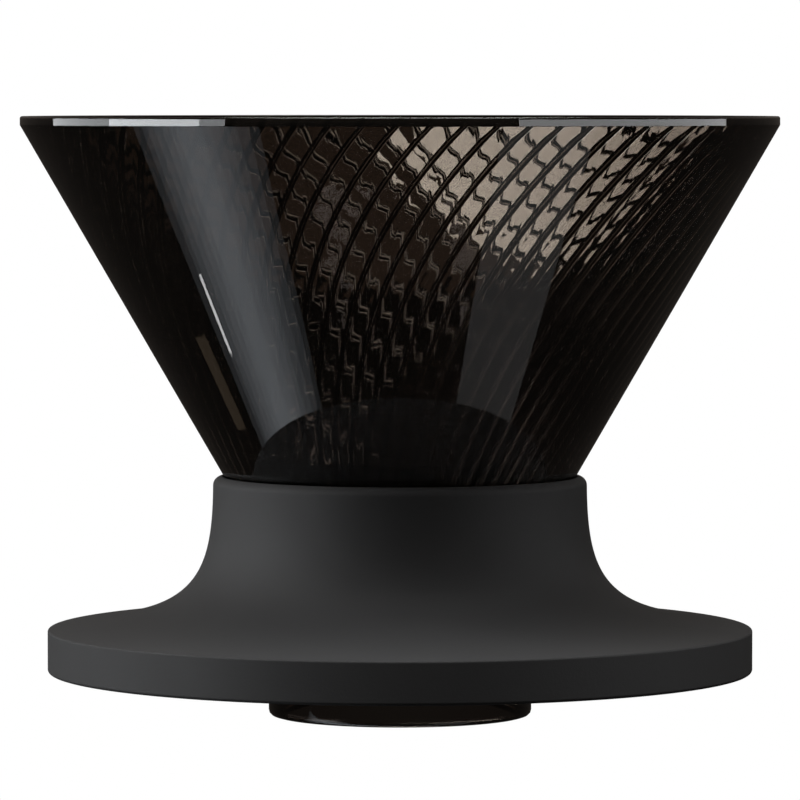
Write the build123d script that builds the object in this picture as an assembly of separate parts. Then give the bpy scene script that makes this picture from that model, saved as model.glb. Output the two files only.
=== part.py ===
from build123d import *
import os
from math import cos, radians, sin, tan

# Pour over dripper: a moulded 60 degree cone with spiral ribs and a locating skirt,
# standing in a soft flared holder that rests on the server. Millimetres, +Z up,
# origin on the axis at the foot of the skirt.

# cone
RIM_R = 58.0
RIM_TOP = 91.8
LIP_HEIGHT = 1.35
HALF_ANGLE = 30.0
WALL = 2.4
EDGE_R = 0.35

# outlet and locating skirt
OUTLET_R = 10.0
OUTLET_LAND = 0.8
SKIRT_R = 20.15
SKIRT_WALL = 2.0
SKIRT_EDGE_R = 0.9
SKIRT_BAND_TOP = 6.5
SKIRT_RELIEF = 0.5

# spiral ribs
RIB_COUNT = 72
RIB_HEIGHT = 0.9
RIB_BURY = 0.6
RIB_RIM_WIDTH = 1.05
RIB_CREST = 0.7
RIB_RIM_GAP = 0.5
LONG_RIB_FOOT = 15.0
SHORT_RIB_FOOT = 23.0
RIB_SECTIONS = 9
TWIST_LOW = 0.39
TWIST_GAIN = 0.51
TWIST_START = 40.0
TWIST_SPAN = 50.0
TWIST_POWER = 1.6

# holder
FLANGE_R = 54.0
FLANGE_BOTTOM = 6.8
FLANGE_TOP = 13.35
FLANGE_EDGE_R = 0.3
FLANGE_FOOT_R = 0.5
NECK_R = 28.65
NECK_TOP = 36.7
NECK_EDGE_R = 1.35
NECK_PULL = (28.8, 19.4)
FLANGE_PULL = (32.4, 15.8)
BORE_CLEARANCE = 0.1
SEAT_CLEARANCE = 0.2

SLOPE = tan(radians(HALF_ANGLE))
WALL_ACROSS = WALL / cos(radians(HALF_ANGLE))
CONE_TOP = RIM_TOP - LIP_HEIGHT


def cone_outer(z):
    """Radius of the cone's outside at height z."""
    return RIM_R - (CONE_TOP - z) * SLOPE


def cone_inner(z):
    """Radius of the cone's inside, between the ribs, at height z."""
    return cone_outer(z) - WALL_ACROSS


def height_of_outer(r):
    """Height at which the cone's outside has radius r."""
    return CONE_TOP - (RIM_R - r) / SLOPE


def height_of_inner(r):
    """Height at which the cone's inside has radius r."""
    return height_of_outer(r + WALL_ACROSS)


def twist(z):
    """Degrees a rib has turned at height z: steady low down, faster towards the rim."""
    rise = max(z - TWIST_START, 0.0) / TWIST_SPAN
    steady = TWIST_LOW * (z - TWIST_START)
    return steady + TWIST_GAIN * TWIST_SPAN * rise ** (TWIST_POWER + 1) / (TWIST_POWER + 1)


def revolved(outline):
    """Solid of revolution about Z of a closed outline drawn in the XZ plane."""
    return revolve(Plane.XZ * make_face(outline), axis=Axis.Z)


def shell():
    """Cone wall, rim lip and locating skirt, turned in one piece."""
    tip = height_of_inner(OUTLET_R) - OUTLET_LAND
    skirt_in = SKIRT_R - SKIRT_WALL
    relieved = SKIRT_R - SKIRT_RELIEF
    points = [
        (skirt_in, 0),
        (SKIRT_R, 0),
        (SKIRT_R, SKIRT_BAND_TOP),
        (relieved, SKIRT_BAND_TOP),
        (relieved, height_of_outer(relieved)),
        (RIM_R, CONE_TOP),
        (RIM_R, RIM_TOP),
        (cone_inner(RIM_TOP), RIM_TOP),
        (OUTLET_R, height_of_inner(OUTLET_R)),
        (OUTLET_R, tip),
        (cone_outer(tip), tip),
        (skirt_in, height_of_outer(skirt_in)),
    ]
    radii = [EDGE_R, SKIRT_EDGE_R, 0, 0, 0, 0, EDGE_R, EDGE_R, 0, 0, 0, 0]
    return revolved(FilletPolyline(*points, radius=radii, close=True))


def rib_section(z):
    """Rib outline in the horizontal plane at height z, its root buried in the wall."""
    inner = cone_inner(z)
    root = inner + RIB_BURY
    crest = inner - RIB_HEIGHT
    half = RIB_RIM_WIDTH / 2 * inner / cone_inner(RIM_TOP)
    corners = [(root, -half), (root, half), (crest, half * RIB_CREST), (crest, -half * RIB_CREST)]
    outline = Polyline(*corners, close=True)
    return Pos(0, 0, z) * Rot(0, 0, twist(z)) * make_face(outline)


def rib(foot):
    """One spiral rib from its foot height to just under the rim."""
    top = RIM_TOP - RIB_RIM_GAP
    step = (top - foot) / (RIB_SECTIONS - 1)
    return loft([rib_section(foot + step * i) for i in range(RIB_SECTIONS)])


def dripper_cone():
    """Cone with its ribs: every second rib runs down to the outlet."""
    pitch = 360 / RIB_COUNT
    long_rib = rib(LONG_RIB_FOOT)
    short_rib = rib(SHORT_RIB_FOOT)
    ribs = []
    for i in range(RIB_COUNT):
        ribs.append(Rot(0, 0, pitch * i) * (short_rib if i % 2 else long_rib))
    return shell() + ribs


def base_holder():
    """Soft flared holder: a seat for the cone, a bore for the skirt and a flat underside."""
    bore_r = SKIRT_R + BORE_CLEARANCE
    seat_gap = SEAT_CLEARANCE / cos(radians(HALF_ANGLE))
    seat_foot = height_of_outer(bore_r - seat_gap)
    seat_top_r = cone_outer(NECK_TOP) + seat_gap
    neck_start = (NECK_R, NECK_TOP - NECK_EDGE_R)
    edge_r = FLANGE_R - FLANGE_EDGE_R
    edge_z = FLANGE_TOP - FLANGE_EDGE_R
    outline = [
        Line((seat_top_r, NECK_TOP), (NECK_R - NECK_EDGE_R, NECK_TOP)),
        RadiusArc((NECK_R - NECK_EDGE_R, NECK_TOP), neck_start, NECK_EDGE_R),
        Bezier(neck_start, NECK_PULL, FLANGE_PULL, (edge_r, FLANGE_TOP)),
        RadiusArc((edge_r, FLANGE_TOP), (FLANGE_R, edge_z), FLANGE_EDGE_R),
        Line((FLANGE_R, edge_z), (FLANGE_R, FLANGE_BOTTOM + FLANGE_FOOT_R)),
        RadiusArc((FLANGE_R, FLANGE_BOTTOM + FLANGE_FOOT_R),
                  (FLANGE_R - FLANGE_FOOT_R, FLANGE_BOTTOM), FLANGE_FOOT_R),
        Line((FLANGE_R - FLANGE_FOOT_R, FLANGE_BOTTOM), (bore_r, FLANGE_BOTTOM)),
        Line((bore_r, FLANGE_BOTTOM), (bore_r, seat_foot)),
        Line((bore_r, seat_foot), (seat_top_r, NECK_TOP)),
    ]
    return revolved(outline)


os.makedirs("parts", exist_ok=True)
nodes = {"dripper_cone": dripper_cone(), "base_holder": base_holder()}
for name, solid in nodes.items():
    export_step(solid, f"parts/{name}.step")
    print(name, round(solid.volume / 1000, 2), "cm3", solid.bounding_box().max)
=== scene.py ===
import bpy
import math
import numpy as np
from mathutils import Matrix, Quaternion, Vector


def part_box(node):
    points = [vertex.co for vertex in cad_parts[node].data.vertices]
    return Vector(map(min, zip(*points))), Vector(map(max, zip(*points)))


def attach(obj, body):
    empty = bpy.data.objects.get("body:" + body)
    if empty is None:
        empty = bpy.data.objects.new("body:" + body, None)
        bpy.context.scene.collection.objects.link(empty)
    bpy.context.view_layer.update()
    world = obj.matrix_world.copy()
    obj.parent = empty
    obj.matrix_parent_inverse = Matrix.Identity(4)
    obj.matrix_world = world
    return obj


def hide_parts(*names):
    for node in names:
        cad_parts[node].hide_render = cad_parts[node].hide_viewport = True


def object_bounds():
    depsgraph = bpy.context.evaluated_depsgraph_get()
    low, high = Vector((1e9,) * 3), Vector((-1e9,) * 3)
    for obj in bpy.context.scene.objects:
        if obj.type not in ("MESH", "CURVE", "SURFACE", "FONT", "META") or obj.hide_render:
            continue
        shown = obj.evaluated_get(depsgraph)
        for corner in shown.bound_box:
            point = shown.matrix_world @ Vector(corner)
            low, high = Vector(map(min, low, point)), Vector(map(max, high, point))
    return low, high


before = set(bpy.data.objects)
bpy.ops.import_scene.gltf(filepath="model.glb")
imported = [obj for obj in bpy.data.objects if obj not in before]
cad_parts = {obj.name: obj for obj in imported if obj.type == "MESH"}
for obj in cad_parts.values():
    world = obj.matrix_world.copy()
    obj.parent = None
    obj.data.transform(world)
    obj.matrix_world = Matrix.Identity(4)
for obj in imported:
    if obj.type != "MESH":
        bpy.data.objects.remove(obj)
cadLow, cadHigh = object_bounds()
coneLow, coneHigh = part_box("dripper_cone")
holderLow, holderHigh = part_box("base_holder")
mm = 0.001
print("frame loaded, object height", round(cadHigh.z / mm, 1), "mm")


class Wire:
    # a socket that can be written into sums: every operator adds one Math node
    def __init__(self, look, socket):
        self.look = look
        self.socket = socket

    def work(self, operation, first, second):
        return self.look.add("ShaderNodeMath", {"operation": operation}, {0: first, 1: second})

    def __add__(self, other):
        return self.work("ADD", self, other)

    def __radd__(self, other):
        return self.work("ADD", other, self)

    def __sub__(self, other):
        return self.work("SUBTRACT", self, other)

    def __rsub__(self, other):
        return self.work("SUBTRACT", other, self)

    def __mul__(self, other):
        return self.work("MULTIPLY", self, other)

    def __rmul__(self, other):
        return self.work("MULTIPLY", other, self)

    def held(self):
        # kept between 0 and 1
        return self.look.add("ShaderNodeMath", {"operation": "ADD", "use_clamp": True}, {0: self, 1: 0.0})


class Look:
    # the node tree of one material, world or light
    def __init__(self, owner):
        owner.use_nodes = True
        self.tree = owner.node_tree
        self.tree.nodes.clear()

    def add(self, kind, settings=None, inputs=None, output=0):
        node = self.tree.nodes.new(kind)
        for name, value in (settings or {}).items():
            setattr(node, name, value)
        for name, value in (inputs or {}).items():
            if isinstance(value, Wire):
                self.tree.links.new(value.socket, node.inputs[name])
            else:
                node.inputs[name].default_value = value
        return Wire(self, node.outputs[output]) if len(node.outputs) else None

    def mixColour(self, share, first, second):
        return self.add("ShaderNodeMix", {"data_type": "RGBA"}, {0: share, 6: first, 7: second}, 2)


# closed outline in (radius, height): every corner becomes an arc tangent to both of its sides,
# and every straight run is cut into its own number of equal steps
def roundedOutline(corners, radii, runSteps, arcSteps=4):
    corners = np.array(corners, float)
    count = len(corners)
    starts, arcs, ends = [], [], []
    for i in range(count):
        toBack = corners[i - 1] - corners[i]
        toNext = corners[(i + 1) % count] - corners[i]
        toBack /= np.linalg.norm(toBack)
        toNext /= np.linalg.norm(toNext)
        half = math.acos(float(np.clip(toBack @ toNext, -1, 1))) / 2
        cut = radii[i] / math.tan(half)
        inward = (toBack + toNext) / np.linalg.norm(toBack + toNext)
        centre = corners[i] + inward * radii[i] / math.sin(half)
        first, last = corners[i] + toBack * cut, corners[i] + toNext * cut
        turn = np.linspace(0, 1, arcSteps + 1)[:, None]
        sweep = math.pi - 2 * half
        if radii[i] > 0:
            fan = (np.sin((1 - turn) * sweep) * (first - centre) + np.sin(turn * sweep) * (last - centre))
            arcs.append(centre + fan / math.sin(sweep))
        else:
            arcs.append(first[None])
        starts.append(first)
        ends.append(last)
    rows = []
    for i in range(count):
        rows.append(arcs[i])
        steps = runSteps[i]
        share = np.linspace(0, 1, steps + 1)[1:-1, None]
        rows.append(ends[i] + (starts[(i + 1) % count] - ends[i]) * share)
    return np.vstack(rows)


# outward direction of a closed outline, from the points before and after each one
def outlineNormals(path):
    along = np.roll(path, -1, 0) - np.roll(path, 1, 0)
    along /= np.linalg.norm(along, axis=1)[:, None]
    return np.stack([along[:, 1], -along[:, 0]], 1)


# a grid of points that closes on itself both ways: row k meets row k + 1, and the last row meets
# the first one turned by rollBack columns
# known fault: the cone's rollBack is applied with the wrong sign, so its closing row does not join
# the lip but spans the mouth as a flat ring
def ringMesh(name, points, rollBack=0):
    rows, columns = points.shape[:2]
    index = np.arange(rows * columns).reshape(rows, columns)
    below = np.vstack([index[1:], np.roll(index[:1], -rollBack, 1)])
    quads = np.stack([index, np.roll(index, -1, 1), np.roll(below, -1, 1), below], -1).reshape(-1, 4)
    mesh = bpy.data.meshes.new(name)
    mesh.vertices.add(rows * columns)
    mesh.vertices.foreach_set("co", points.reshape(-1))
    mesh.loops.add(len(quads) * 4)
    mesh.loops.foreach_set("vertex_index", quads.reshape(-1))
    mesh.polygons.add(len(quads))
    mesh.polygons.foreach_set("loop_start", np.arange(len(quads)) * 4)
    mesh.update(calc_edges=True)
    mesh.validate()
    mesh.polygons.foreach_set("use_smooth", np.ones(len(quads), bool))
    # a point's normal is the sum of its faces' normals, each as long as its face is large
    flat = points.reshape(-1, 3)
    cross = np.cross(flat[quads[:, 2]] - flat[quads[:, 0]], flat[quads[:, 3]] - flat[quads[:, 1]])
    normals = np.zeros_like(flat)
    for corner in range(4):
        np.add.at(normals, quads[:, corner], cross)
    normals /= np.maximum(np.linalg.norm(normals, axis=1), 1e-12)[:, None]
    mesh.normals_split_custom_set_from_vertices(normals)
    piece = bpy.data.objects.new(name, mesh)
    bpy.context.collection.objects.link(piece)
    return piece


cone = {
    "halfAngle": math.radians(30),
    "wall": 2.4 * mm,
    "lipHeight": 1.35 * mm,
    "edge": 0.35 * mm,
    "outlet": 10.0 * mm,
    "outletLand": 0.8 * mm,
    "skirt": 20.15 * mm,
    "skirtWall": 2.0 * mm,
    "skirtEdge": 0.9 * mm,
    "skirtBand": 6.5 * mm,
    "skirtRelief": 0.5 * mm,
    "ribs": 72,
    "ribHeight": 0.9 * mm,
    "ribWidth": 0.9 * mm,
    "flatness": 1.0,
    "ribTopGap": 0.5 * mm,
    "longFoot": 15.0 * mm,
    "shortFoot": 23.0 * mm,
    "firstRib": math.radians(-0.8),
    # turn of a rib in degrees for each mm of height, and what the bend above bendStart adds to it
    "steadyTurn": 0.39,
    "addedTurn": 0.51,
    "bendStart": 40,
    "bendLength": 50,
    "bendPower": 2.6,
}
rim = coneHigh.x
rimTop = coneHigh.z
slope = math.tan(cone["halfAngle"])
across = cone["wall"] / math.cos(cone["halfAngle"])
coneTop = rimTop - cone["lipHeight"]


def outerRadius(z):
    return rim - (coneTop - z) * slope


def outerHeight(r):
    return coneTop - (rim - r) / slope


# turn of a rib at height z: steady low down, and faster towards the rim
def ribTurn(z):
    height = z / mm - cone["bendStart"]
    rise = np.maximum(height, 0) / cone["bendLength"]
    power = cone["bendPower"]
    added = cone["addedTurn"] * cone["bendLength"] * rise ** power / power
    return np.radians(cone["steadyTurn"] * height + added)


# one rib and one valley across the pitch: for each column the side of the rib that it follows,
# its distance from the rib's middle line in half widths, its share of the valley, and its lift
def ribColumns():
    half = np.array([0.0, 0.3, 0.55, 0.8, 0.93, 1.05, 1.18, 1.36])
    lift = np.array([1.0, 0.99, 0.93, 0.7, 0.42, 0.14, 0.03, 0.0])
    valley = np.array([0.25, 0.5, 0.75])
    place = np.concatenate([-half[:0:-1], half, np.zeros(3)])
    share = np.concatenate([np.zeros(len(half) * 2 - 1), valley])
    raised = np.concatenate([lift[:0:-1], lift, np.zeros(3)])
    return place, share, raised, half[-1]


def dripperCone():
    tip = outerHeight(cone["outlet"] + across) - cone["outletLand"]
    innerFoot = outerHeight(cone["outlet"] + across)
    pocket = cone["skirt"] - cone["skirtWall"]
    relieved = cone["skirt"] - cone["skirtRelief"]
    corners = [
        (outerRadius(rimTop) - across, rimTop),
        (cone["outlet"], innerFoot),
        (cone["outlet"], tip),
        (outerRadius(tip), tip),
        (pocket, outerHeight(pocket)),
        (pocket, 0.0),
        (cone["skirt"], 0.0),
        (cone["skirt"], cone["skirtBand"]),
        (relieved, cone["skirtBand"]),
        (relieved, outerHeight(relieved)),
        (rim, coneTop),
        (rim, rimTop),
    ]
    edge = cone["edge"]
    radii = [edge, edge, edge / 2, edge / 2, edge, edge, cone["skirtEdge"], 0, 0, edge / 2, edge / 2, edge]
    path = roundedOutline(corners, radii, [27, 2, 1, 3, 2, 1, 1, 1, 1, 5, 1, 2], 3)
    out = outlineNormals(path)
    r, z = path[:, :1], path[:, 1:]
    # share of the full rib at each row: none off the inner wall, and faded in at both ends
    onWall = (out[:, :1] < -0.8) & (out[:, 1:] > 0.2)
    topFade = np.clip((rimTop - cone["ribTopGap"] - z) / (0.5 * mm), 0, 1)
    foot = np.where(np.arange(cone["ribs"]) % 2 == 0, cone["longFoot"], cone["shortFoot"])[None]
    footFade = np.clip((z - foot) / (3 * mm), 0, 1) ** 0.5
    strength = np.where(onWall, topFade, 0) * footFade
    # rib columns keep their width in millimetres, valley columns share what is left of the pitch
    place, share, raised, rootPlace = ribColumns()
    pitch = 2 * math.pi / cone["ribs"]
    halfWidth = cone["ribWidth"] / 2 * np.clip(r / rim, 0.25, 1)
    root = np.minimum(rootPlace * halfWidth / r, pitch * 0.42)
    local = place * np.minimum(halfWidth / r, pitch * 0.42 / rootPlace)
    local = local + np.where(share > 0, root + share * (pitch - 2 * root), 0)
    # a flat valley is a chord: it lies inside the circle by the circle's radius less the chord's
    halfValley = pitch / 2 - root
    fromMiddle = np.where(share > 0, (share - 0.5) * 2, 1) * halfValley
    chord = (r - r * np.cos(halfValley) / np.cos(fromMiddle)) * cone["flatness"]
    turns = int(round((ribTurn(rimTop) - ribTurn(innerFoot)) / pitch))
    inner = np.arange(len(path)) <= np.argmin(np.abs(path - np.array(corners[1])).sum(1))
    turn = ribTurn(z)
    leftover = float(ribTurn(rimTop)) - turns * pitch
    after = np.cumsum(np.r_[0, np.linalg.norm(np.diff(path, axis=0), axis=1)] * ~inner)
    rest = (after / after[-1])[:, None]
    startTurn = turn[inner][-1, 0]
    turn = np.where(inner[:, None], turn, startTurn + (leftover - startTurn) * rest)
    ribStarts = np.arange(cone["ribs"]) * pitch + cone["firstRib"]
    angle = turn[:, :, None] + ribStarts[None, :, None] + local[:, None, :]
    height = strength[:, :, None] * raised[None, None] * cone["ribHeight"]
    height = height + (np.where(onWall, topFade, 0) * chord)[:, None, :]
    radius = r[:, :, None] + out[:, :1, None] * height
    level = z[:, :, None] + out[:, 1:, None] * height
    points = np.stack([radius * np.cos(angle), radius * np.sin(angle), level], -1)
    points = points.reshape(len(path), -1, 3)
    piece = ringMesh("dripper_cone_shell", points, turns * len(place))
    print("dripper cone", points.shape, "turned by", turns, "ribs")
    return piece


coneShell = dripperCone()
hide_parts("dripper_cone")
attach(coneShell, "dripper")


holder = {
    "neckEdge": 1.35 * mm,
    "neckRadius": 28.65 * mm,
    "flangeTop": 13.35 * mm,
    "flangeEdge": 0.35 * mm,
    "flangeFoot": 0.5 * mm,
    "neckPull": (28.8 * mm, 19.4 * mm),
    "flangePull": (32.4 * mm, 15.8 * mm),
    "boreGap": 0.1 * mm,
    "seatGap": 0.2 * mm,
    "columns": 360,
}


# the holder's outline: a cubic curve between two ends with two pulls, closed down the outside,
# along the underside, and up the bore and the seat
def holderOutline():
    flange, bottom, top = holderHigh.x, holderLow.z, holderHigh.z
    bore = cone["skirt"] + holder["boreGap"]
    gap = holder["seatGap"] / math.cos(cone["halfAngle"])
    seatTop = outerRadius(top) + gap
    edge, foot = holder["flangeEdge"], holder["flangeFoot"]
    ends = np.array([
        (holder["neckRadius"], top - holder["neckEdge"]), holder["neckPull"],
        holder["flangePull"], (flange - edge, holder["flangeTop"])])
    t = np.linspace(0, 1, 49)[:, None]
    curve = ((1 - t) ** 3 * ends[0] + 3 * t * (1 - t) ** 2 * ends[1]
             + 3 * t ** 2 * (1 - t) * ends[2] + t ** 3 * ends[3])
    quarter = np.linspace(0, math.pi / 2, 9)[:, None]

    def arc(centreR, centreZ, size, fromTop):
        swing = (math.pi / 2 - quarter) if fromTop else -quarter
        return np.hstack([centreR + size * np.cos(swing), centreZ + size * np.sin(swing)])

    neckEdge = holder["neckEdge"]
    neck = arc(holder["neckRadius"] - neckEdge, top - neckEdge, neckEdge, True)
    rimEdge = arc(flange - edge, holder["flangeTop"] - edge, edge, True)
    footEdge = arc(flange - foot, bottom + foot, foot, False)
    inner = np.array([
        (bore + edge, bottom), (bore, bottom + edge), (bore, outerHeight(bore - gap)), (seatTop, top)])
    return np.vstack([neck, curve[1:-1], rimEdge, footEdge, inner])


def baseHolder():
    path = holderOutline()[::-1]
    angle = np.linspace(0, 2 * math.pi, holder["columns"], endpoint=False)[None]
    r, z = path[:, :1], path[:, 1:]
    points = np.stack([r * np.cos(angle), r * np.sin(angle), z + 0 * angle], -1)
    print("holder", points.shape)
    return ringMesh("base_holder_skin", points)


holderSkin = baseHolder()
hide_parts("base_holder")
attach(holderSkin, "holder")


resin = {
    "ior": 1.55,
    "absorb": (0.10, 0.04, 0.0, 1.0),
    "density": 880.0,
    "roughness": 0.012,
}


# smoked resin: clear glass-like surface with a faint haze, over a brown-black absorption inside
def smokeResin():
    material = bpy.data.materials.new("smokeResin")
    look = Look(material)
    place = look.add("ShaderNodeTexCoord", output=3)
    haze = look.add("ShaderNodeTexNoise", None, {"Vector": place, "Scale": 160.0, "Detail": 3.0})
    surface = look.add("ShaderNodeBsdfPrincipled", None, {
        "Base Color": (1, 1, 1, 1), "Roughness": resin["roughness"] + haze * 0.012,
        "IOR": resin["ior"], "Transmission Weight": 1.0})
    volume = look.add("ShaderNodeVolumeAbsorption", None, {
        "Color": resin["absorb"], "Density": resin["density"]})
    look.add("ShaderNodeOutputMaterial", None, {"Surface": surface, "Volume": volume})
    return material


silicone = {
    "dark": (0.0165, 0.0165, 0.0168, 1.0),
    "light": (0.0200, 0.0200, 0.0203, 1.0),
    "roughness": 0.6,
}


def softBlack():
    material = bpy.data.materials.new("softBlack")
    look = Look(material)
    place = look.add("ShaderNodeTexCoord", output=3)
    cloud = look.add("ShaderNodeTexNoise", None, {"Vector": place, "Scale": 90.0, "Detail": 4.0})
    grain = look.add("ShaderNodeTexNoise", None, {"Vector": place, "Scale": 2600.0, "Detail": 2.0})
    colour = look.mixColour(cloud, silicone["dark"], silicone["light"])
    bump = look.add("ShaderNodeBump", None, {"Strength": 0.12, "Distance": 0.1 * mm, "Height": grain})
    surface = look.add("ShaderNodeBsdfPrincipled", None, {
        "Base Color": colour, "Roughness": silicone["roughness"] + cloud * 0.08, "Normal": bump,
        "Specular IOR Level": 0.2})
    look.add("ShaderNodeOutputMaterial", None, {"Surface": surface})
    return material


coneShell.data.materials.append(smokeResin())
holderSkin.data.materials.append(softBlack())


# plain white floor, seen by the camera only
floorMesh = bpy.data.meshes.new("floor")
floorCorners = [(-2, -2, 0), (2, -2, 0), (2, 2, 0), (-2, 2, 0)]
floorMesh.from_pydata(floorCorners, [], [(0, 1, 2, 3)])
floor = bpy.data.objects.new("floor", floorMesh)
bpy.context.collection.objects.link(floor)
floor.visible_glossy = False
floor.visible_transmission = False
floor.visible_diffuse = False
floor.visible_shadow = False
floorMaterial = bpy.data.materials.new("paleFloor")
floorLook = Look(floorMaterial)
glow = floorLook.add("ShaderNodeEmission", None, {"Color": (1, 1, 1, 1), "Strength": 1.0})
floorLook.add("ShaderNodeOutputMaterial", None, {"Surface": glow})
floor.data.materials.append(floorMaterial)
print("materials and floor ready")

# white behind the object for the camera, and a dim warm room, brighter above, for all other rays
world = bpy.data.worlds.new("studio")
bpy.context.scene.world = world
worldLook = Look(world)
seen = worldLook.add("ShaderNodeLightPath", output=0)
direction = worldLook.add("ShaderNodeTexCoord", output=0)
rise = worldLook.add("ShaderNodeSeparateXYZ", None, {0: direction}, 2)
matt = worldLook.add("ShaderNodeLightPath", output=2)
room = ((rise * 4 + 0.2).held() * 0.12 + 0.025) * (1 - matt * 0.8)
dim = worldLook.add("ShaderNodeBackground", None, {"Color": (1, 0.86, 0.75, 1), "Strength": room})
white = worldLook.add("ShaderNodeBackground", None, {"Color": (1, 1, 1, 1), "Strength": 1.0})
both = worldLook.add("ShaderNodeMixShader", None, {0: seen, 1: dim, 2: white})
worldLook.add("ShaderNodeOutputWorld", None, {"Surface": both})

middle = Vector((0, 0, (cadLow.z + cadHigh.z) / 2))


# stands a light round the object, facing it: turn is measured from the camera's side
# towards the right, rise above the horizon, and roll round its own axis, all in degrees
def stand(thing, turn, rise, distance, aim=None, roll=0):
    a, e = math.radians(turn), math.radians(rise)
    way = Vector((math.sin(a) * math.cos(e), -math.cos(a) * math.cos(e), math.sin(e)))
    thing.location = (aim or middle) + way * distance
    thing.rotation_mode = "QUATERNION"
    thing.rotation_quaternion = way.to_track_quat("Z", "Y") @ Quaternion((0, 0, 1), math.radians(roll))
    thing.visible_camera = False
    bpy.context.collection.objects.link(thing)


# an even light panel; glow is its brightness next to white. A soft one lights the matt holder
# only, the others show only as reflections and through the resin
def panel(name, width, height, glow, tint=(1.0, 1.0, 1.0), soft=False, shape="RECTANGLE"):
    light = bpy.data.lights.new(name, "AREA")
    light.shape = shape
    light.size, light.size_y = width, height
    light.color = tint
    light.energy = glow * width * height * 4
    lamp = bpy.data.objects.new(name, light)
    lamp.visible_diffuse = soft
    lamp.visible_glossy = not soft
    lamp.visible_transmission = not soft
    return lamp


lipLevel = Vector((0, 0, rimTop))
stand(panel("leftBox", 0.88, 0.25, 2.7, (0.94, 0.97, 1.0)), -88, 0, 0.6, lipLevel)
stand(panel("leftHeart", 0.36, 0.2, 5.0, (0.94, 0.97, 1.0)), -76, 0, 0.59, lipLevel)
stand(panel("rightBox", 0.97, 0.14, 2.4, (0.97, 0.98, 1.0)), 73, 0, 0.6, lipLevel)
stand(panel("topBox", 0.6, 0.6, 3.0), 0, 88, 0.7)
stand(panel("leftKey", 0.4, 0.4, 10.5, soft=True), -84, 38, 0.6)
stand(panel("rightKey", 0.4, 0.4, 4.0, soft=True), 80, 47, 0.6)
stand(panel("frontTop", 0.4, 0.2, 32.0, soft=True), 0, 77, 0.8)
stand(panel("rightLow", 0.22, 0.4, 0.2), 61, -53, 0.5, roll=20)
# two narrow strips that show as streaks on the left of the cone
streakAim = Vector((-0.0234, -0.026, 0.052))
warmAim = Vector((-0.0206, -0.0175, 0.038))
stand(panel("streak", 0.012, 0.02, 5.0), -103, -40, 0.5, streakAim, -29)
stand(panel("warmStreak", 0.05, 0.024, 0.16, (1.0, 0.75, 0.5)), -117, -34, 0.5, warmAim, -30)
backdrop = panel("backdrop", 0.56, 0.3, 0.5, (1.0, 0.8, 0.65))
backdrop.visible_glossy = False
stand(backdrop, 180, 14, 0.6)
# panels of falling width, each just in front of the last, make a softbox with a bright middle
for step in range(7):
    layer = panel("leftLow" + str(step), 0.33 - step * 0.045, 0.7, 0.15, (0.87, 0.93, 1.0))
    stand(layer, -82, -47, 0.5 - step * 0.002, roll=-20)
# a round softbox behind the object, to the right, seen only through the resin
backRound = panel("backRound", 0.17, 0.14, 14.0, (0.9, 1.0, 0.98), shape="ELLIPSE")
backRound.visible_glossy = False
stand(backRound, 180, 0, 0.6, Vector((0.072, 0, 0.117)))

print("lights ready")

# a long lens just above the rim, looking slightly down
shot = {
    "distance": 0.901,
    "aboveRim": 2.6 * mm,
    "down": 2.926,
    "lens": 265.0,
}
cameraData = bpy.data.cameras.new("camera")
cameraData.sensor_width = 36.0
cameraData.lens = shot["lens"]
camera = bpy.data.objects.new("camera", cameraData)
camera.location = (0.0, -shot["distance"], rimTop + shot["aboveRim"])
camera.rotation_euler = (math.radians(90 - shot["down"]), 0, 0)
cameraData.clip_start = 0.01
bpy.context.collection.objects.link(camera)
bpy.context.scene.camera = camera
bpy.context.scene.view_settings.view_transform = "Standard"
